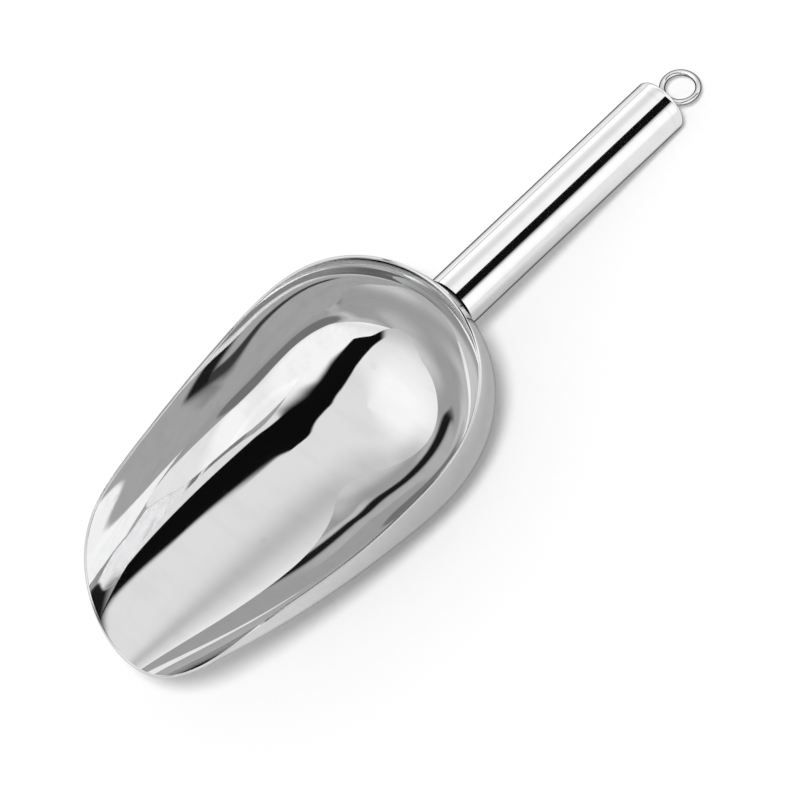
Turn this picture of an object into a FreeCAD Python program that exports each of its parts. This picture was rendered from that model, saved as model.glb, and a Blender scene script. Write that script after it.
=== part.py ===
"""Ice scoop: a deep sheet bowl on a round tube handle with a hanging ring.

Frame: millimetres, +Z up, +X towards the pouring lip, +Y across the bowl.
The origin is the bottom centre of the whole scoop as it lies on a level
surface, leaned back so that the round rear of the bowl and the lower edge of
the end cap touch z = 0.  The mirror plane is y = 0.

The bowl is built level: x = 0 at the centre of its rounded rear end, straight
bottom line at z = 0.  The handle pieces are built along +X from the bowl
centre, then placed on the tilted handle axis.  Last, the whole scoop is
leaned back and moved to the origin.
"""

import FreeCAD, Part
import math
import os

V = FreeCAD.Vector

# ---------------------------------------------------------------- dimensions
# bowl
SHEET = 1.0             # sheet thickness
BOWL_HALF_W = 44.65     # half width the trough section starts from
BOWL_CENTRE_Z = 41.66   # height of the widest level = depth of the round section
BOWL_REAR = 41.1        # how far the rounded rear reaches behind x = 0
BOWL_FRONT = 106.4      # x of the lip
HALF_W_MID = 41.55      # half width at mid length of the trough
HALF_W_LIP = 31.0       # half width of the trough section at the lip
FULL_MID = 0.05         # how much fuller than an ellipse the trough is at 45 degrees
THIN_LIP = 0.035        # how far the lip section is drawn in at 45 degrees
BLEND_X = 18.0          # x where the trough starts to round off towards the rear
BLEND_POWER = 3.0       # above 2, so the curvature starts from nothing
RIM_ROUND = 0.3         # rounding of both edges of the trimmed rim
SECTION_POINTS = 48     # points round each section

# sections of the rounded rear, in degrees: BLEND_X is 0, the rearmost point is 90
REAR_ANGLES = [87, 83, *range(78, 0, -6)]
# x of the trough sections, the last one just past the lip
TROUGH_X = [BLEND_X, 25.0, 33.0, 42.0, 52.0, 64.0, 76.0, 88.0, 99.0, 109.0]

# side view of the trim line, rear to lip: (x, z)
TRIM = [
    (-46.0, 71.4), (-39.5, 69.0), (-32.7, 66.2), (-24.9, 62.9), (-13.7, 57.4),
    (-2.6, 51.7), (6.0, 48.0), (19.0, 44.1), (31.0, 41.3), (42.2, 38.9),
    (52.5, 37.2), (61.8, 36.0), (70.3, 35.0), (77.9, 34.0), (84.4, 32.3),
    (90.4, 28.9), (95.3, 24.3), (99.3, 18.9), (102.4, 13.2), (104.7, 7.4),
    (105.9, 2.9), (106.4, 0.0), (106.7, -3.0),
]
TRIM_HALF_W = 70.0      # half width of the trimming block, clear of the bowl
TRIM_BOTTOM = -8.0      # underside of the trimming block

# handle tube, lengths measured from the bowl centre along the handle axis
HANDLE_TILT = 5.14      # degrees above level, rising towards the free end
TUBE_R = 9.5            # outside radius
TUBE_WALL = 1.0
BORE_R = TUBE_R - TUBE_WALL
TUBE_START = 30.0       # inside the bowl, before the tube is coped

# end cap
CYL_END = 141.3         # end of the cylindrical part of the handle
CAP_SKIRT = 2.6         # cylindrical part of the cap
SEAM = CYL_END - CAP_SKIRT      # where tube and cap meet
CROWN_R = 21.0          # crown radius of the domed cap
KNUCKLE_R = 1.9         # knuckle radius between crown and skirt
KNUCKLE_CENTRE_R = TUBE_R - KNUCKLE_R   # knuckle centre, off the axis
CROWN_CENTRE = CYL_END - math.sqrt((CROWN_R - KNUCKLE_R) ** 2 - KNUCKLE_CENTRE_R ** 2)
CROWN_TOP = CROWN_CENTRE + CROWN_R
CAP_WALL = 1.4
HOLLOW_OVERRUN = 1.0    # how far the cap's hollow is cut past the seam
SPIGOT_LEN = 4.0        # reach into the tube
SPIGOT_WALL = 1.2
SPIGOT_GAP = 0.03       # radial clearance in the tube
SPIGOT_OVERLAP = 0.6    # reach into the cap skirt
SPIGOT_LEAD = (0.8, 0.4)    # chamfer on the spigot's end: along the axis, radial

# groove and bead between tube and cap
SEAM_HALF = 0.55        # half width
SEAM_DEPTH = 0.45
BEVEL_PAST = 0.1        # how far the cap's bevel cutter runs past the seam
BEVEL_CLEAR = 1.0       # how far it stands outside the cap

# hanging ring
RING_MEAN_R = 5.8
RING_WIRE_R = 1.0
RING_CENTRE = 151.3     # from the bowl centre, along the handle axis
RING_BEAD = (1.5, 2.7, 1.75)    # half sizes along handle, across, up
RING_BEAD_OUT = 0.15    # bead centre beyond the top of the crown
MIN_BEAD_VOLUME = 0.05  # smaller slivers of the ring bead are dropped

# fillet bead between tube and bowl
BEAD_LEG = 2.1          # fillet leg against the bowl and along the tube
BEAD_ROOT = 0.4         # depth the tube end is turned down under the bead
BEAD_BULGE = 0.28       # mid point of the bead's face outside its chord, along and radially
BEAD_SINK = 0.1         # how far the bead's outer corner is set in towards the bowl
BEAD_INSIDE = 3.0       # how far the uncut bead reaches into the bowl
ROOT_R = TUBE_R - BEAD_ROOT
BEAD_R = TUBE_R + BEAD_LEG
TOE_X = math.sqrt(BOWL_REAR ** 2 - TUBE_R ** 2) + BEAD_LEG
FOOT_X = math.sqrt(BOWL_REAR ** 2 - BEAD_R ** 2)
STEP_X = TOE_X - BEAD_ROOT


# ---------------------------------------------------------------- bowl
def half_width(x, inset):
    """Half width of the trough section at x: a cubic through start, mid and lip."""
    s = x / BOWL_FRONT
    mid_change = HALF_W_MID - BOWL_HALF_W
    lip_change = HALF_W_LIP - BOWL_HALF_W
    square = 8.0 * mid_change - lip_change
    cube = lip_change - square
    return BOWL_HALF_W + square * s ** 2 + cube * s ** 3 - inset


def round_off(x, inset):
    """Scale of the section at x, and how far back it lies (0 to 1)."""
    back = min(1.0, max(0.0, (BLEND_X - x) / (BLEND_X + BOWL_REAR - inset)))
    return math.sqrt(1.0 - back ** BLEND_POWER), back


def section(x, inset):
    """Closed round section of the bowl at x, as a smooth periodic wire."""
    scale, back = round_off(x, inset)
    width = half_width(max(0.0, x), inset) * scale
    depth = (BOWL_CENTRE_Z - inset) * scale
    s = min(1.0, max(0.0, x) / BOWL_FRONT)
    # negative where the section is fuller than an ellipse
    draw_in = (THIN_LIP + FULL_MID) * s ** 3 - FULL_MID * (1.0 - back * back)
    points = []
    for i in range(SECTION_POINTS):
        angle = 2.0 * math.pi * i / SECTION_POINTS + math.pi
        rho = 1.0 - draw_in * (1.0 - math.cos(4.0 * angle)) / 2.0
        points.append(V(x, width * rho * math.sin(angle),
                        BOWL_CENTRE_Z - depth * rho * math.cos(angle)))
    curve = Part.BSplineCurve()
    curve.interpolate(Points=points, PeriodicFlag=True,
                      Parameters=[i / SECTION_POINTS for i in range(SECTION_POINTS + 1)])
    return Part.Wire([curve.toShape()])


def closed_form(inset):
    """The bowl as a closed body, from the rearmost point to just past the lip."""
    span = BLEND_X + BOWL_REAR - inset
    profiles = [Part.Vertex(V(BLEND_X - span, 0, BOWL_CENTRE_Z))]
    profiles += [section(BLEND_X - span * math.sin(math.radians(a)), inset)
                 for a in REAR_ANGLES]
    profiles += [section(x, inset) for x in TROUGH_X]
    return Part.makeLoft(profiles, True, False)


def trim_body():
    """Everything under the trim line, as a block across the bowl."""
    line = [V(x, -TRIM_HALF_W, z) for x, z in TRIM]
    curve = Part.BSplineCurve()
    curve.interpolate(Points=line)
    rear, front = line[0], line[-1]
    low_front = V(front.x, -TRIM_HALF_W, TRIM_BOTTOM)
    low_rear = V(rear.x, -TRIM_HALF_W, TRIM_BOTTOM)
    wire = Part.Wire([curve.toShape(), Part.makeLine(front, low_front),
                      Part.makeLine(low_front, low_rear), Part.makeLine(low_rear, rear)])
    return Part.Face(wire).extrude(V(0, 2 * TRIM_HALF_W, 0))


def make_bowl(outer):
    """Trimmed sheet bowl with a hooded rear and a rounded rim."""
    bowl = outer.cut(closed_form(SHEET)).common(trim_body()).Solids[0]
    # the cut faces of the rim are the only extruded ones
    rim = [e for f in bowl.Faces if "Extrusion" in f.Surface.TypeId for e in f.Edges]
    return bowl.makeFillet(RIM_ROUND, rim)


# ---------------------------------------------------------------- handle helpers
def place(shape):
    """Move a shape built along +X from the bowl centre onto the handle axis."""
    placed = shape.copy()
    placed.rotate(V(0, 0, 0), V(0, 1, 0), 180.0 + HANDLE_TILT)
    placed.translate(V(0, 0, BOWL_CENTRE_Z))
    return placed


def revolve(wire):
    """Solid of revolution of a closed wire about the X axis."""
    return Part.Face(wire).revolve(V(0, 0, 0), V(1, 0, 0), 360)


def spin(points):
    """Revolve a closed (distance along the axis, radius) polygon."""
    return revolve(Part.makePolygon([V(x, 0, r) for x, r in points + points[:1]]))


# ---------------------------------------------------------------- handle pieces
def make_tube(outer):
    """Tube coped to the bowl, stepped down under the bead, bevelled at the seam."""
    tube = spin([(TUBE_START, BORE_R), (TUBE_START, ROOT_R), (STEP_X, ROOT_R),
                 (TOE_X, TUBE_R), (SEAM - SEAM_HALF, TUBE_R),
                 (SEAM, TUBE_R - SEAM_DEPTH), (SEAM, BORE_R)])
    return place(tube).cut(outer)


def domed_solid(start, inset):
    """Solid skirt, knuckle and crown, from start to the top, inset all over."""
    radius = TUBE_R - inset
    crown_r, knuckle_r = CROWN_R - inset, KNUCKLE_R - inset
    join_angle = math.atan2(KNUCKLE_CENTRE_R, CYL_END - CROWN_CENTRE)
    knuckle_angle = (math.pi / 2 + join_angle) / 2

    def on_crown(angle):
        return V(CROWN_CENTRE + crown_r * math.cos(angle), 0, crown_r * math.sin(angle))

    join, top = on_crown(join_angle), on_crown(0.0)
    knuckle_mid = V(CYL_END + knuckle_r * math.cos(knuckle_angle), 0,
                    KNUCKLE_CENTRE_R + knuckle_r * math.sin(knuckle_angle))
    axis_start, skirt_start = V(start, 0, 0), V(start, 0, radius)
    skirt_end = V(CYL_END, 0, radius)
    return revolve(Part.Wire([
        Part.makeLine(axis_start, skirt_start),
        Part.makeLine(skirt_start, skirt_end),
        Part.Arc(skirt_end, knuckle_mid, join).toShape(),
        Part.Arc(join, on_crown(join_angle / 2), top).toShape(),
        Part.makeLine(top, axis_start),
    ]))


def make_cap(dome, ring):
    """Hollow domed cap with a spigot, a seam bevel and a groove for the ring."""
    hollow = domed_solid(SEAM - HOLLOW_OVERRUN, CAP_WALL)
    outer_r = BORE_R - SPIGOT_GAP
    inner_r = outer_r - SPIGOT_WALL
    start, end = SEAM - SPIGOT_LEN, SEAM + SPIGOT_OVERLAP
    lead_length, lead_depth = SPIGOT_LEAD
    spigot = spin([(start, inner_r), (start, outer_r - lead_depth),
                   (start + lead_length, outer_r), (end, outer_r), (end, inner_r)])
    bevel_start, bevel_end = SEAM - BEVEL_PAST, SEAM + SEAM_HALF
    bevel_low = TUBE_R - SEAM_DEPTH - BEVEL_PAST * SEAM_DEPTH / SEAM_HALF
    bevel = spin([(bevel_start, bevel_low), (bevel_end, TUBE_R),
                  (bevel_end, TUBE_R + BEVEL_CLEAR), (bevel_start, TUBE_R + BEVEL_CLEAR)])
    cap = dome.cut(hollow).fuse(spigot).cut(bevel)
    return place(cap.cut(ring).removeSplitter())


def make_ring():
    """Closed wire ring in the plane of the handle axis and Y, not yet placed."""
    return Part.makeTorus(RING_MEAN_R, RING_WIRE_R, V(RING_CENTRE, 0, 0), V(0, 0, 1))


def make_handle_weld(outer):
    """Fillet bead all round between tube and bowl."""
    toe = V(TOE_X, 0, TUBE_R)
    foot = V(FOOT_X - BEAD_SINK, 0, BEAD_R)
    bulge = (toe + foot) * 0.5 + V(BEAD_BULGE, 0, BEAD_BULGE)
    high = V(FOOT_X - BEAD_INSIDE, 0, BEAD_R)
    low = V(FOOT_X - BEAD_INSIDE, 0, ROOT_R)
    step = V(STEP_X, 0, ROOT_R)
    bead = revolve(Part.Wire([
        Part.Arc(toe, bulge, foot).toShape(),
        Part.makeLine(foot, high), Part.makeLine(high, low),
        Part.makeLine(low, step), Part.makeLine(step, toe),
    ]))
    return place(bead).cut(outer)


def make_cap_weld():
    """Bead that fills the seam groove flush with the tube."""
    return place(spin([(SEAM - SEAM_HALF, TUBE_R), (SEAM, TUBE_R - SEAM_DEPTH),
                       (SEAM + SEAM_HALF, TUBE_R)]))


def make_ring_weld(dome, ring):
    """Ellipsoid bead on the crown, less the cap and the ring."""
    matrix = FreeCAD.Matrix()
    matrix.scale(V(*RING_BEAD))
    matrix.move(V(CROWN_TOP + RING_BEAD_OUT, 0, 0))
    bead = Part.makeSphere(1.0).transformGeometry(matrix)
    bead = bead.cut(dome).cut(ring)
    return place(Part.makeCompound([s for s in bead.Solids if s.Volume > MIN_BEAD_VOLUME]))


def build():
    """All pieces of the level scoop, by name."""
    outer = closed_form(0.0)
    dome = domed_solid(SEAM, 0.0)
    ring = make_ring()
    return {
        "scoop_bowl": make_bowl(outer),
        "handle_tube": make_tube(outer),
        "handle_end_cap": make_cap(dome, ring),
        "hanging_ring": place(ring),
        "handle_weld": make_handle_weld(outer),
        "cap_weld": make_cap_weld(),
        "ring_weld": make_ring_weld(dome, ring),
    }


# ---------------------------------------------------------------- resting pose
def bowl_drop(lean):
    """How far the bowl reaches below its centre when leant back by lean radians."""
    steps = 4000
    stations = [-BOWL_REAR + (BLEND_X + BOWL_REAR) * i / steps for i in range(steps + 1)]
    return max(BOWL_CENTRE_Z * round_off(x, 0.0)[0] * math.cos(lean) - x * math.sin(lean)
               for x in stations)


def resting_lean():
    """Lean in degrees at which bowl and cap both touch, and the bowl drop there."""
    low, high = 0.0, 40.0
    for _ in range(40):
        lean = (low + high) / 2.0
        slope = math.radians(lean - HANDLE_TILT)
        bowl = bowl_drop(math.radians(lean))
        cap = CYL_END * math.sin(slope) + KNUCKLE_CENTRE_R * math.cos(slope) + KNUCKLE_R
        if cap < bowl:
            low = lean
        else:
            high = lean
    return lean, bowl


def lay_down(parts):
    """Lean the level scoop back and put the origin at its bottom centre."""
    lean, drop = resting_lean()
    for shape in parts.values():
        shape.rotate(V(0, 0, BOWL_CENTRE_Z), V(0, 1, 0), -lean)
        shape.translate(V(0, 0, drop - BOWL_CENTRE_Z))
    lip = parts["scoop_bowl"].optimalBoundingBox(False, False).XMax
    slope = math.radians(lean - HANDLE_TILT)
    ring_end = -(RING_CENTRE + RING_MEAN_R) * math.cos(slope) - RING_WIRE_R
    for shape in parts.values():
        shape.translate(V(-(lip + ring_end) / 2.0, 0, 0))
    return parts


os.makedirs("parts", exist_ok=True)
for name, shape in lay_down(build()).items():
    solids = shape.Solids
    body = solids[0] if len(solids) == 1 else Part.makeCompound(solids)
    body.exportStep("parts/" + name + ".step")
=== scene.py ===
"""A polished steel scoop with a tubular handle and hanging ring, resting on a paper floor.

The bowl is drawn level in mm: the lip points to +X, the handle to -X, Z is up and the
bottom of the bowl is at z = 0. LEVEL carries that layout into the scene, in metres, where
the scoop leans back until the bowl and the handle's end cap both touch the floor.
"""

import math

import bpy
import numpy as np
from mathutils import Matrix, Vector


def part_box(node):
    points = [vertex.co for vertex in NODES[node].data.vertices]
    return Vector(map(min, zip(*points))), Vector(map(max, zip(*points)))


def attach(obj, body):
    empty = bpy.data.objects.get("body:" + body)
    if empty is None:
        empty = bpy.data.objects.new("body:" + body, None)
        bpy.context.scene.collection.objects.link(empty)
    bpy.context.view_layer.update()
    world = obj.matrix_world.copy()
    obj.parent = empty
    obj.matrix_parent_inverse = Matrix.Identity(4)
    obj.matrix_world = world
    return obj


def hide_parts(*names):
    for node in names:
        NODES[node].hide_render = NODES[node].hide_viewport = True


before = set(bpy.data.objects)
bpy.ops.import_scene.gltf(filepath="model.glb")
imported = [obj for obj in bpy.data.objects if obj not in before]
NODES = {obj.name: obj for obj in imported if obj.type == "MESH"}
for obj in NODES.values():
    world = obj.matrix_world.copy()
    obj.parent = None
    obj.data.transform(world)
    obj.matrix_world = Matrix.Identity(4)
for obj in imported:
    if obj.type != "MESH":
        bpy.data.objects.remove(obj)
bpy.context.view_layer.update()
MM = 0.001

# Bowl, mm in the level layout
SHEET = 1.0                 # thickness
BOWL_HALF_W = 44.65         # half width at x = 0
HALF_W_MID = 41.55          # half width midway to the lip
HALF_W_LIP = 31.0           # half width at the lip
BOWL_CENTRE_Z = 41.66
BOWL_REAR = 41.1            # rearmost point is at x = -BOWL_REAR
BOWL_FRONT = 106.4
SQUARE_LIP = 0.035          # how far the section departs from an ellipse at the lip
SQUARE_MID = -0.05          # and where the rear closing starts
BLEND_X = 18.0              # behind this station the bowl closes towards the rear
BLEND_POW = 3.0
TRIM_END = 106.65           # every meridian is cut off by this x
EDGE_ROUND = 0.42           # the rim's rounding starts this far back from the trim line

# Mesh counts of the bowl
HALF_STEPS = 150            # steps round half a section
SKIN_RINGS = 130
RIM_STEPS = 8

# Trim line seen from the side, rear to lip: x, z
TRIM = np.array([
    (-46.0, 71.4), (-39.5, 69.0), (-32.7, 66.2), (-24.9, 62.9), (-13.7, 57.4),
    (-2.6, 51.7), (6.0, 48.0), (19.0, 44.1), (31.0, 41.3), (42.2, 38.9),
    (52.5, 37.2), (61.8, 36.0), (70.3, 35.0), (77.9, 34.0), (84.4, 32.3),
    (90.4, 28.9), (95.3, 24.3), (99.3, 18.9), (102.4, 13.2), (104.7, 7.4),
    (105.9, 2.9), (106.4, 0.0), (106.7, -3.0),
])

# Handle and ring, mm, with lengths measured along the handle from the bowl centre
HANDLE_TILT = 5.14          # degrees between the handle and the level of the bowl
TUBE_R = 9.5
CYL_END = 141.3
KNUCKLE_R = 1.9             # rounding of the end cap
RING_CENTRE = 151.3
RING_MEAN_R = 5.8
RING_WIRE_R = 1.0


# Resting position

def closing(behind):
    """Scale of the section, from 1 at BLEND_X (behind = 0) to 0 at the rear (behind = 1)."""
    return np.sqrt(1 - behind ** BLEND_POW)


def rest():
    """Lean in degrees at which bowl and cap both touch, and the bowl centre's height."""
    x = np.linspace(-BOWL_REAR, BLEND_X, 4001)
    scale = closing((BLEND_X - x) / (BLEND_X + BOWL_REAR))
    low, high = 0.0, 40.0
    for _ in range(60):
        lean = (low + high) / 2.0
        turn, slope = math.radians(lean), math.radians(lean - HANDLE_TILT)
        bowl_depth = float(np.max(BOWL_CENTRE_Z * scale * math.cos(turn) - x * math.sin(turn)))
        cap_depth = (CYL_END * math.sin(slope) + (TUBE_R - KNUCKLE_R) * math.cos(slope)
                     + KNUCKLE_R)
        low, high = (lean, high) if cap_depth < bowl_depth else (low, lean)
    return lean, bowl_depth


LEAN, CENTRE_HEIGHT = rest()
HANDLE_SLOPE = math.radians(LEAN - HANDLE_TILT)
CENTRE_X = (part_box("hanging_ring")[0].x / MM
            + (RING_CENTRE + RING_MEAN_R) * math.cos(HANDLE_SLOPE) + RING_WIRE_R)
LEAN_TURN = Matrix.Rotation(math.radians(-LEAN), 4, "Y")
LEVEL = (
    Matrix.Translation(Vector((CENTRE_X, 0, CENTRE_HEIGHT)) * MM)
    @ LEAN_TURN
    @ Matrix.Translation(Vector((0, 0, -BOWL_CENTRE_Z)) * MM)
    @ Matrix.Scale(MM, 4)
)


# Bowl surface

def natural_spline(knots, values, wanted):
    """Natural cubic spline through (knots, values), evaluated at wanted."""
    count = len(knots)
    gaps = np.diff(knots)
    system = np.zeros((count, count))
    target = np.zeros_like(values)
    system[0, 0] = system[-1, -1] = 1.0
    for i in range(1, count - 1):
        system[i, i - 1:i + 2] = gaps[i - 1], 2 * (gaps[i - 1] + gaps[i]), gaps[i]
        target[i] = 6 * ((values[i + 1] - values[i]) / gaps[i]
                         - (values[i] - values[i - 1]) / gaps[i - 1])
    bend = np.linalg.solve(system, target)
    k = np.clip(np.searchsorted(knots, wanted) - 1, 0, count - 2)
    ahead = (knots[k + 1] - wanted)[:, None]
    past = (wanted - knots[k])[:, None]
    gap = gaps[k][:, None]
    return ((bend[k] * ahead ** 3 + bend[k + 1] * past ** 3) / (6 * gap)
            + (values[k] / gap - bend[k] * gap / 6) * ahead
            + (values[k + 1] / gap - bend[k + 1] * gap / 6) * past)


chord = np.concatenate([[0], np.cumsum(np.hypot(*np.diff(TRIM, axis=0).T))])
TRIM_FINE = natural_spline(chord, TRIM, np.linspace(0, chord[-1], 6000))

# The half width ahead of x = 0 is BOWL_HALF_W + SQUARE_TERM s^2 + CUBE_TERM s^3
SQUARE_TERM = 8.0 * (HALF_W_MID - BOWL_HALF_W) - (HALF_W_LIP - BOWL_HALF_W)
CUBE_TERM = (HALF_W_LIP - BOWL_HALF_W) - SQUARE_TERM


def skin(x, angle, inset):
    """Bowl surface at station x and section angle (0 at the bottom), inset from outside."""
    x, angle = np.broadcast_arrays(x, angle)
    rear = BOWL_REAR - inset
    ahead = np.clip(x / BOWL_FRONT, 0, None)
    behind = np.clip((BLEND_X - x) / (BLEND_X + rear), 0, 1)
    scale = closing(behind)
    half_w = BOWL_HALF_W + SQUARE_TERM * ahead * ahead + CUBE_TERM * ahead ** 3 - inset
    half_w = half_w * scale
    depth = (BOWL_CENTRE_Z - inset) * scale
    square = (SQUARE_MID * (1 - behind ** 2)
              + (SQUARE_LIP - SQUARE_MID) * np.clip(ahead, 0, 1) ** 3)
    radius = 1 - square * (1 - np.cos(4 * angle)) / 2
    return np.stack([x, half_w * radius * np.sin(angle),
                     BOWL_CENTRE_Z - depth * radius * np.cos(angle)], -1)


def meridian(distance, angle, inset):
    """Surface point at a distance from the rearmost point along a line of fixed angle."""
    span = BLEND_X + BOWL_REAR - inset
    quarter = span * math.pi / 2
    x = BLEND_X + np.where(distance < quarter,
                           -span * np.cos(np.minimum(distance, quarter) / span),
                           distance - quarter)
    return skin(x, angle, inset)


def past_trim(points):
    return points[..., 2] > np.interp(points[..., 0], TRIM_FINE[:, 0], TRIM_FINE[:, 1])


def rim_distance(angle, inset):
    """Distance along each meridian at which it meets the trim line."""
    grid = np.linspace(0.5, 192.0, 768)
    points = meridian(grid[None, :], angle[:, None], inset)
    first = (past_trim(points) | (points[..., 0] > TRIM_END)).argmax(1)
    low, high = grid[np.maximum(first - 1, 0)], grid[first]
    for _ in range(40):
        middle = (low + high) / 2
        past = past_trim(meridian(middle, angle, inset))
        low, high = np.where(past, low, middle), np.where(past, middle, high)
    return (low + high) / 2


def length_of(vectors):
    return np.linalg.norm(vectors, axis=-1, keepdims=True)


def unit(vectors):
    return vectors / np.maximum(length_of(vectors), 1e-12)


def outward_normal(distance, angle, inset):
    tiny = 1e-3
    along = (meridian(distance + tiny, angle, inset)
             - meridian(np.maximum(distance - tiny, 1e-6), angle, inset))
    around = meridian(distance, angle + tiny, inset) - meridian(distance, angle - tiny, inset)
    return unit(np.cross(around, along))


def section_angles():
    """Angles once round the bowl, spaced mostly for even steps along the rim."""
    fine = np.linspace(0, math.pi, 1500)
    rim = meridian(rim_distance(fine, 0.0), fine, 0.0)
    length = np.concatenate([[0], np.cumsum(length_of(np.diff(rim, axis=0))[:, 0])])
    spacing = 0.62 * length / length[-1] + 0.38 * fine / math.pi
    half = np.interp(np.linspace(0, 1, HALF_STEPS + 1), spacing, fine)
    return np.concatenate([half, -half[1:-1][::-1]])


def bowl_rings(angles):
    """(points, normals) per ring: out along the outer skin, over the rim, back inside."""
    outer_end = rim_distance(angles, 0.0)
    inner_end = rim_distance(angles, SHEET)
    fractions = np.linspace(0, 1, SKIN_RINGS + 1)[1:]
    rings = []
    for fraction in fractions:
        distance = (outer_end - EDGE_ROUND) * fraction
        rings.append((meridian(distance, angles, 0.0), outward_normal(distance, angles, 0.0)))

    # half an ellipse from the outer skin over the tip of the rim to the inner skin
    outer_edge = rings[-1][0]
    inner_edge = meridian(inner_end - EDGE_ROUND, angles, SHEET)
    tip = (meridian(outer_end, angles, 0.0) + meridian(inner_end, angles, SHEET)) / 2
    centre, across = (outer_edge + inner_edge) / 2, (outer_edge - inner_edge) / 2
    reach = tip - centre
    across_len, reach_len = length_of(across), length_of(reach)
    for k in range(1, RIM_STEPS):
        turn = math.pi * k / RIM_STEPS
        points = centre + across * math.cos(turn) + reach * math.sin(turn)
        normals = (across / across_len * (math.cos(turn) / across_len)
                   + reach / reach_len * (math.sin(turn) / reach_len))
        rings.append((points, unit(normals)))

    for fraction in fractions[::-1]:
        distance = (inner_end - EDGE_ROUND) * fraction
        rings.append((meridian(distance, angles, SHEET),
                      -outward_normal(distance, angles, SHEET)))
    return rings


def link_object(name, data):
    made = bpy.data.objects.new(name, data)
    bpy.context.scene.collection.objects.link(made)
    return made


def build_bowl():
    """Closed sheet with exact normals and a rounded rim."""
    angles = section_angles()
    around = len(angles)
    rings = bowl_rings(angles)
    poles = [[-BOWL_REAR, 0, BOWL_CENTRE_Z], [-(BOWL_REAR - SHEET), 0, BOWL_CENTRE_Z]]
    points = np.concatenate([ring[0] for ring in rings] + [poles])
    normals = np.concatenate([ring[1] for ring in rings] + [[[-1, 0, 0], [1, 0, 0]]])

    last = (len(rings) - 1) * around
    outer_pole = last + around
    inner_pole = outer_pole + 1
    steps = [(i, (i + 1) % around) for i in range(around)]
    faces = []
    for a in range(0, last, around):
        b = a + around
        faces += [(a + j, b + j, b + i, a + i) for i, j in steps]
    for i, j in steps:
        faces.append((j, i, outer_pole))
        faces.append((last + i, last + j, inner_pole))

    place = np.array(LEVEL)
    turn = np.array(LEVEL.to_3x3().normalized())
    mesh = bpy.data.meshes.new("scoop_bowl_sheet")
    mesh.from_pydata((points @ place[:3, :3].T + place[:3, 3]).tolist(), [], faces)
    mesh.validate(clean_customdata=False)
    mesh.polygons.foreach_set("use_smooth", [True] * len(mesh.polygons))
    mesh.update()
    mesh.normals_split_custom_set_from_vertices(unit(normals @ turn.T).tolist())
    return link_object("scoop_bowl_sheet", mesh)


bowl = build_bowl()
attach(bowl, "root")
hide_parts("scoop_bowl")


# Node algebra, so that shaders read as formulas

class Field:
    """A scalar output in the node tree being built, which is Field.tree."""

    tree = None

    def __init__(self, socket):
        self.socket = socket

    def __add__(self, other): return calc("ADD", self, other)
    def __radd__(self, other): return calc("ADD", other, self)
    def __sub__(self, other): return calc("SUBTRACT", self, other)
    def __rsub__(self, other): return calc("SUBTRACT", other, self)
    def __mul__(self, other): return calc("MULTIPLY", self, other)
    def __rmul__(self, other): return calc("MULTIPLY", other, self)
    def __truediv__(self, other): return calc("DIVIDE", self, other)

    def ramp(self, zero, one):
        """Smooth step, 0 at and beyond `zero` and 1 at and beyond `one`, in either order."""
        rising = zero < one
        made = node("ShaderNodeMapRange", {
            "Value": self, "From Min": min(zero, one), "From Max": max(zero, one),
            "To Min": float(not rising), "To Max": float(rising)})
        made.interpolation_type = "SMOOTHSTEP"
        return Field(made.outputs["Result"])


def node(kind, inputs=None):
    """Add a node; each input is given a plain value, a socket or a Field."""
    made = Field.tree.nodes.new(kind)
    for key, value in (inputs or {}).items():
        if isinstance(value, Field):
            value = value.socket
        if isinstance(value, bpy.types.NodeSocket):
            Field.tree.links.new(value, made.inputs[key])
        else:
            made.inputs[key].default_value = value
    return made


def calc(operation, *values, clamp=False):
    made = node("ShaderNodeMath", dict(enumerate(values)))
    made.operation = operation
    made.use_clamp = clamp
    return Field(made.outputs[0])


def split_xyz(vector):
    made = node("ShaderNodeSeparateXYZ", {0: vector})
    return [Field(made.outputs[i]) for i in range(3)]


def combine_color(channels):
    return node("ShaderNodeCombineColor", dict(enumerate(channels))).outputs[0]


def object_coords():
    return node("ShaderNodeTexCoord").outputs["Object"]


def noise(vector, scale, detail):
    made = node("ShaderNodeTexNoise", {"Scale": scale, "Detail": detail, "Vector": vector})
    return Field(made.outputs["Fac"])


def mapping(vector, scale, rotation):
    made = node("ShaderNodeMapping", {"Scale": scale, "Rotation": rotation, "Vector": vector})
    return made.outputs[0]


# Materials

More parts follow.
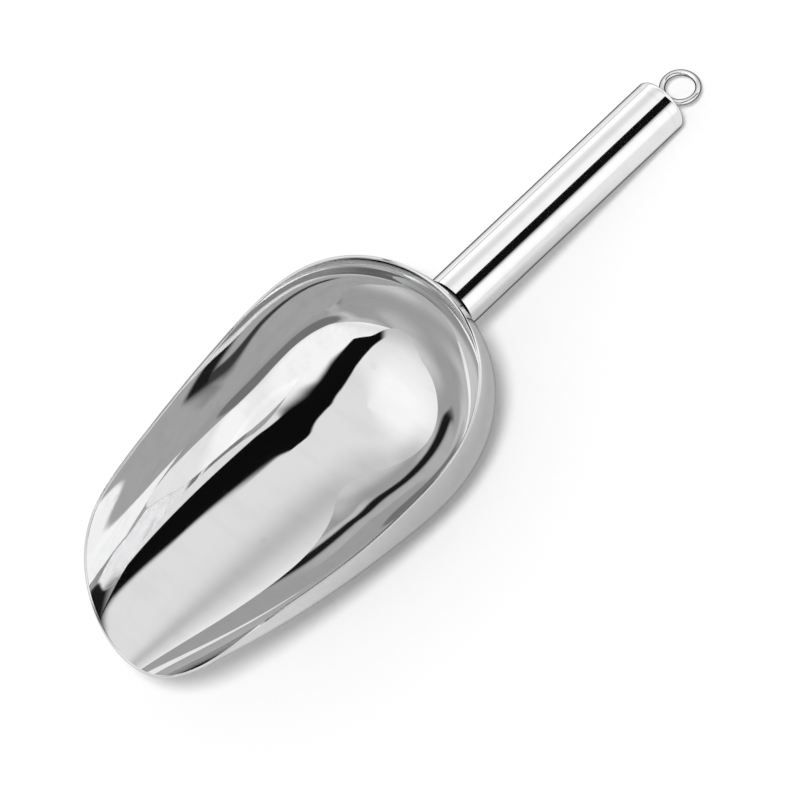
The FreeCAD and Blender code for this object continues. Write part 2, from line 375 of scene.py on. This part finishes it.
def steel(name, level, rough, haze, bump=0.05, edge=0.5, edge_at=(0.80, 0.985),
          grain=(1, 1, 1)):
    """Polished stainless: buffing haze, hair lines, water spots, faint relief and painted shade
    where it is seen edge on.

    level: base colour; rough, haze: roughness and what smears add to it; bump: relief;
    edge, edge_at: painted shade, the share of base colour and specular tint taken away edge on,
    and the facing values where that starts and is full;
    grain: x, y, z scale of the hair line noise.
    """
    material = bpy.data.materials.new(name)
    material.use_nodes = True
    Field.tree = material.node_tree
    Field.tree.nodes.clear()
    coords = object_coords()
    cloud = noise(coords, scale=28.0, detail=4.0)
    tilted = mapping(coords, scale=(3, 1, 2), rotation=(0.3, 0.5, 0.2))
    smear = noise(tilted, scale=60.0, detail=3.0)
    hair = noise(mapping(coords, grain, (0, HANDLE_SLOPE, 0)), scale=1500.0, detail=2.0)
    cells = node("ShaderNodeTexVoronoi", {"Scale": 55.0, "Vector": coords})
    spots = (Field(cells.outputs["Distance"]).ramp(zero=0.10, one=0.04)
             * cloud.ramp(zero=0.52, one=0.62))

    # smears weigh 0.6 of the clouds, spots add 0.05, hair lines vary it by half of rough
    roughness = (rough + haze * cloud.ramp(zero=0.42, one=0.70)
                 + haze * 0.6 * smear.ramp(zero=0.50, one=0.72) + 0.05 * spots)
    roughness = roughness + (hair - 0.5) * (rough * 0.5)

    # painted shade: base colour and specular tint darken where the surface is seen edge on,
    # drawing dark outlines; smears and spots darken the base colour slightly
    facing = node("ShaderNodeLayerWeight", {"Blend": 0.5}).outputs["Facing"]
    painted_edge_shade = Field(facing).ramp(*edge_at)
    tone = ((1.0 - edge * painted_edge_shade) * (1.0 - 0.035 * smear.ramp(zero=0.45, one=0.7))
            * (1.0 - 0.05 * spots))
    relief = node("ShaderNodeBump", {
        "Strength": bump, "Distance": 0.00003, "Height": hair * 0.7 + smear * 0.3})
    surface = node("ShaderNodeBsdfPrincipled", {
        "Metallic": 1.0,
        "Roughness": roughness,
        "Base Color": combine_color([tone * channel for channel in level]),
        # the specular tint carries the painted edge-on shade as well
        "Specular Tint": combine_color([1.0 - edge * painted_edge_shade for _ in range(3)]),
        "Normal": relief.outputs[0]})
    node("ShaderNodeOutputMaterial", {"Surface": surface.outputs["BSDF"]})
    return material


def paper():
    """Near white floor, with painted shade seen only in reflections: glossy rays find it darker
    close to the origin (distances in metres).
    """
    material = bpy.data.materials.new("floor_paper")
    material.use_nodes = True
    Field.tree = material.node_tree
    surface = Field.tree.nodes["Principled BSDF"]
    coords = object_coords()
    fibre = noise(coords, scale=900.0, detail=4.0)
    x, y, _ = split_xyz(coords)
    apart = calc("SQRT", x * x + y * y)
    reflected = Field(node("ShaderNodeLightPath").outputs["Is Glossy Ray"])
    # painted shade: for glossy rays the floor colour is dimmed near the origin, where the scoop
    # stands, so the scoop's reflections of the floor turn grey
    color = combine_color([
        (0.925 + fibre * 0.02)
        * (1.0 - (0.46 - 0.26 * apart.ramp(zero=0.05, one=0.11)
                  - 0.20 * apart.ramp(zero=0.11, one=0.60)) * reflected)
        for _ in range(3)])
    Field.tree.links.new(color, surface.inputs["Base Color"])
    surface.inputs["Roughness"].default_value = 0.9
    surface.inputs["Specular IOR Level"].default_value = 0.1
    return material


def dress(piece, material):
    piece.data.materials.clear()
    piece.data.materials.append(material)


# edge and edge_at set how strongly each finish is darkened by painted shade where it is seen
# edge on
HANDLE_LOOK = dict(bump=0.0, grain=(0.02, 1, 1), edge=0.92, edge_at=(0.62, 0.88))
# painted light: the base colour level is chosen per piece to brighten or dim its reflections,
# so the tube shines brighter than the bowl of the same polished steel
TUBE_LOOK = dict(level=(0.94, 0.94, 0.943), rough=0.06, haze=0.010, **HANDLE_LOOK)
# material name, pieces that wear it, settings of steel()
FINISHES = (
    ("polished_sheet", [bowl],
     dict(level=(0.73, 0.73, 0.732), rough=0.018, haze=0.010, bump=0.0)),
    ("polished_tube", [NODES["handle_tube"]], TUBE_LOOK),
    ("polished_cap", [NODES["handle_end_cap"]], TUBE_LOOK),
    ("ground_seam", [NODES["cap_weld"]],
     dict(level=(0.90, 0.90, 0.905), rough=0.065, haze=0.015, **HANDLE_LOOK)),
    ("polished_wire", [NODES["hanging_ring"]],
     dict(level=(0.86, 0.86, 0.865), rough=0.05, haze=0.02, edge=0.97, edge_at=(0.18, 0.52))),
    ("weld_bead", [NODES["handle_weld"], NODES["ring_weld"]],
     dict(level=(0.12, 0.118, 0.114), rough=0.26, haze=0.10, bump=0.6, edge=0.95,
          edge_at=(0.2, 0.62))),
)
for material_name, pieces, settings in FINISHES:
    finish = steel(material_name, **settings)
    for piece in pieces:
        dress(piece, finish)


# Floor, metres

FLOOR_HALF = 6.0
FLOOR_Z = -0.0003


def build_floor():
    mesh = bpy.data.meshes.new("floor")
    corners = [(x * FLOOR_HALF, y * FLOOR_HALF, 0)
               for x, y in ((-1, -1), (1, -1), (1, 1), (-1, 1))]
    mesh.from_pydata(corners, [], [(0, 1, 2, 3)])
    made = link_object("floor", mesh)
    made.location.z = FLOOR_Z
    dress(made, paper())
    return made


floor = build_floor()


# World: a bright tent with a dark slot, seen only in reflections. Angles are in degrees.

PLAIN_LIGHT = 0.70          # light on everything that isn't mirror like
TENT_GAIN = 1.12

# Panels of the tent for each successive reflection:
# gain, (azimuth, elevation), (width, height), (softness across, softness up)
FIRST_PANELS = (
    (0.36, (-40, 62), (130, 50), (30, 30)),
    (-0.24, (-116, 43), (76, 24), (16, 9)),
    (0.2, (-120, 12), (60, 24), (15, 8)),
    (-0.42, (-161, 27), (32, 24), (8, 8)),
    (-0.18, (-104, 43), (24, 16), (8, 8)),
    (0.3, (75, 25), (80, 40), (14, 14)),
    (-0.3, (0, 10), (60, 20), (12, 12)),
)
SECOND_PANELS = (
    (0.3, (62, 8), (34, 22), (8, 8)),
    (0.3, (30, 30), (26, 16), (8, 8)),
    (0.3, (-14, 56), (36, 14), (10, 6)),
)
THIRD_PANELS = (
    (0.5, (30, 48), (50, 30), (10, 10)),
    (-0.35, (0, 30), (40, 30), (10, 10)),
)
FOURTH_PANELS = (
    (2.2, (40, 30), (50, 44), (8, 8)),
    (1.9, (-75, 62), (44, 26), (8, 8)),
    (-0.4, (-20, 56), (50, 22), (8, 8)),
)
LATER_PANELS = (
    (2.9, (-65, 64), (44, 24), (8, 8)),
    (-0.9, (175, 40), (60, 60), (10, 10)),
)

# Lines across the tent: azimuth, elevation
RIB = (
    (0, 52), (15, 53.5), (30, 54), (42, 54), (50, 53.6), (58, 47.5), (66, 38), (78, 35),
    (90, 28), (105, 22), (126, 16), (140, 12), (180, 0),
)
SLOT_TOP = (
    (0, 4), (15, 19), (26, 30), (36, 40.5), (49, 51), (65, 60), (89, 65.5), (119, 66),
    (138, 61.6), (149, 57.3), (156, 55.3), (161, 54), (164, 52), (166, 47), (180, 20),
)
SLOT_BOTTOM = (
    (0, 0), (20, 4), (35, 15), (48, 25), (60, 33), (73, 39.4), (89, 45), (103, 46.3),
    (115, 46), (122, 43), (127, 39), (131.5, 35), (134, 33), (136.4, 30), (137.2, 24),
    (138.0, 4), (138.9, 3), (139.8, 7.5), (142.5, 16.8), (145.6, 24), (149, 29.8),
    (152.6, 35), (155.5, 38), (158.5, 40.4), (162, 42.5), (180, 60),
)
LINE_START, LINE_END, LINE_TOP = 0, 180, 90     # azimuth range and highest elevation


def absolute(field):
    return calc("ABSOLUTE", field)


class Sky:
    """Direction of a ray, as azimuth and elevation and as a plan centred on the zenith."""

    def __init__(self):
        x, self.y, z = split_xyz(node("ShaderNodeTexCoord").outputs["Generated"])
        self.azimuth = calc("DEGREES", calc("ARCTAN2", self.y, x))
        self.elevation = calc("DEGREES", calc("ARCSINE", z))
        self.plan_x, self.plan_y = (
            (90.0 - self.elevation) * calc(part, calc("RADIANS", self.azimuth))
            for part in ("COSINE", "SINE"))

    def patch(self, at, size, soft):
        """1 inside a soft edged rectangle, 0 outside."""
        off_side = calc("PINGPONG", absolute(self.azimuth - at[0]), 180.0)
        off_level = absolute(self.elevation - at[1])
        return (off_side.ramp(size[0] / 2 + soft[0], size[0] / 2 - soft[0])
                * off_level.ramp(size[1] / 2 + soft[1], size[1] / 2 - soft[1]))

    def add_panels(self, light, panels):
        for gain, at, size, soft in panels:
            panel = abs(gain) * self.patch(at, size, soft)
            light = light + panel if gain > 0 else light - panel
        return light

    def line(self, points):
        """Elevation of a smooth line through the points, at this azimuth."""
        width = LINE_END - LINE_START
        made = node("ShaderNodeFloatCurve", {
            "Value": (self.azimuth - LINE_START) * (1.0 / width)})
        knots = made.mapping.curves[0].points
        while len(knots) < len(points):
            knots.new(0.5, 0.5)
        for knot, (x, y) in zip(knots, points):
            knot.location = ((x - LINE_START) / width, y / LINE_TOP)
            knot.handle_type = "AUTO_CLAMPED"
        made.mapping.update()
        return Field(made.outputs[0]) * LINE_TOP


def dark_slot(sky):
    """1 in a long strip on the +Y side that turns down towards -X."""
    azimuth, elevation = sky.azimuth, sky.elevation
    top, bottom = sky.line(SLOT_TOP), sky.line(SLOT_BOTTOM)
    # the lower edge is softest over the middle azimuths
    soft = (1.0 + 6.0 * azimuth.ramp(134.0, 124.0) * azimuth.ramp(50.0, 75.0)
            + 9.0 * azimuth.ramp(133.0, 126.0) * azimuth.ramp(96.0, 112.0))
    low_edge = calc("DIVIDE", elevation - bottom + soft, soft + 1.0, clamp=True)
    slot = ((elevation - top).ramp(1.5, -1.5) * low_edge
            * sky.y.ramp(-0.001, 0.001) * azimuth.ramp(13.0, 22.0))
    return slot * slot * (3.0 - 2.0 * slot)


def first_light(sky):
    light = sky.add_panels(1.10, FIRST_PANELS)
    # low dark skirting on the -Y side
    light = light * (1.0 - 0.85 * sky.patch(at=(-60, 0), size=(110, 14), soft=(14, 5)))
    return light * (1.0 - 0.995 * dark_slot(sky))


def second_light(sky):
    azimuth, elevation, plan_x = sky.azimuth, sky.elevation, sky.plan_x
    # bright bank on the -Y side, bounded by a parabola in the plan
    bank_edge = calc("MINIMUM", 0.016 * (plan_x + 17.0) * (plan_x + 17.0) - 24.0, -13.0)
    bank = (sky.plan_y - bank_edge).ramp(1.5, -1.5) * plan_x.ramp(-61.0, -55.0)
    light = 0.68 + 0.2 * plan_x.ramp(30.0, 40.0) * elevation.ramp(45.0, 30.0)
    light = sky.add_panels(light, SECOND_PANELS)
    light = light + (0.93 + 0.3 * sky.patch((-75, 30), (40, 80), soft=(10, 10))) * bank
    # outside the bank: a narrow light strip below a darker zenith
    light = light + (0.5 * sky.patch((5, 67), (80, 6), soft=(14, 6))
                     - 0.34 * elevation.ramp(71.0, 76.0)) * (1.0 - bank)
    # a dark rib with a light band 12 degrees above it and another 7 below
    rib = sky.line(RIB)
    light = light + (0.18 * absolute(elevation - rib - 12.0).ramp(8.0, 3.0)
                     * azimuth.ramp(40.0, 60.0) * azimuth.ramp(140.0, 120.0))
    light = light + (0.35 * absolute(elevation - rib + 7.0).ramp(5.0, 2.0)
                     * azimuth.ramp(62.0, 74.0) * azimuth.ramp(146.0, 130.0))
    spread = 0.72 + 0.28 * azimuth.ramp(48.0, 62.0)
    light = light * (1.0 - 0.97 * (absolute(elevation - rib) / spread).ramp(6.0, 2.5)
                     * azimuth.ramp(54.0, 64.0) * azimuth.ramp(146.0, 130.0))
    # low dark patch near -X
    return light * (1.0 - 0.97 * sky.patch((-165, 11), (32, 18), soft=(4, 3)))


def third_light(sky):
    plan_x, plan_y = sky.plan_x, sky.plan_y
    # brighter beyond a slanting line on the -Y side, with a dark cross near the zenith
    light = 1.0 + 1.5 * (plan_y + 0.4 * plan_x + 56.5).ramp(1.5, -1.5)
    light = sky.add_panels(light, THIRD_PANELS)
    upright = (absolute(plan_x + 4.0).ramp(9.0, 4.0) * plan_y.ramp(-18.0, -10.0)
               * plan_y.ramp(34.0, 24.0))
    bar = 0.92 * absolute(plan_y + 8.5).ramp(7.0, 3.0) * absolute(plan_x - 6.0).ramp(17.0, 10.0)
    return light * (1.0 - 0.97 * calc("MAXIMUM", upright, bar))


def build_world():
    world = bpy.data.worlds.new("studio")
    bpy.context.scene.world = world
    world.use_nodes = True
    Field.tree = world.node_tree
    Field.tree.nodes.clear()
    sky = Sky()
    path = node("ShaderNodeLightPath")
    depth = Field(path.outputs["Ray Depth"]) - 1.0      # the world counts itself as one more

    # every bounce inside the bowl leaves from another place, so it meets other panels
    lights = (first_light(sky), second_light(sky), third_light(sky),
              sky.add_panels(0.8, FOURTH_PANELS), sky.add_panels(1.6, LATER_PANELS))
    light = lights[0]
    for count in range(1, len(lights)):
        reached = calc("GREATER_THAN", depth, count + 0.5)
        light = light + reached * (lights[count] - lights[count - 1])

    tent = node("ShaderNodeBackground", {"Strength": light * TENT_GAIN})
    plain = node("ShaderNodeBackground", {"Strength": PLAIN_LIGHT})
    lit = node("ShaderNodeMixShader", {
        0: path.outputs["Is Glossy Ray"], 1: plain.outputs[0], 2: tent.outputs[0]})
    # the camera itself sees white past the floor
    white = node("ShaderNodeBackground", {"Color": (1, 1, 1, 1)})
    seen = node("ShaderNodeMixShader", {
        0: path.outputs["Is Camera Ray"], 1: lit.outputs[0], 2: white.outputs[0]})
    node("ShaderNodeOutputWorld", {0: seen.outputs[0]})
    world.cycles.sampling_method = "NONE"


build_world()


# Camera and key light, laid out in mm in the level layout and leaned with the scoop

CAMERA_ELEVATION = math.radians(52.67)
CAMERA_AZIMUTH = math.radians(42.61)
CAMERA_DISTANCE = 5000.0
VIEW_WIDTH = 254.4          # width seen at the aim point
AIM_RIGHT = 12.49104        # aim point from the layout's origin, along the view's right
AIM_UP = 21.77346           # and along its up
SENSOR = 36.0

back = Vector((math.cos(CAMERA_ELEVATION) * math.cos(CAMERA_AZIMUTH),
               math.cos(CAMERA_ELEVATION) * math.sin(CAMERA_AZIMUTH),
               math.sin(CAMERA_ELEVATION)))
right = Vector((-math.sin(CAMERA_AZIMUTH), math.cos(CAMERA_AZIMUTH), 0))
up = back.cross(right)


def build_camera():
    data = bpy.data.cameras.new("camera")
    camera = link_object("camera", data)
    eye = right * AIM_RIGHT + up * AIM_UP + back * CAMERA_DISTANCE
    facing = Matrix((right, up, back)).transposed().to_4x4()
    camera.matrix_world = Matrix.Translation(LEVEL @ eye) @ (LEAN_TURN @ facing)
    data.sensor_width = SENSOR
    data.lens = SENSOR * CAMERA_DISTANCE / VIEW_WIDTH
    data.clip_start, data.clip_end = 0.1, 60.0
    bpy.context.scene.camera = camera


def build_key():
    """Sun slightly left of and above the camera, hidden from reflections."""
    data = bpy.data.lights.new("key", "SUN")
    data.energy = 1.85
    data.angle = math.radians(9)
    key = link_object("key", data)
    toward = (LEAN_TURN @ (back - right * 0.10 + up * 0.08)).normalized()
    key.rotation_euler = toward.to_track_quat("Z", "Y").to_euler()
    key.visible_glossy = False


build_camera()
build_key()
scene = bpy.context.scene
scene.view_settings.view_transform = "Standard"
# the walls of the bowl mirror each other many times over
scene.cycles.max_bounces = 16
scene.cycles.glossy_bounces = 14
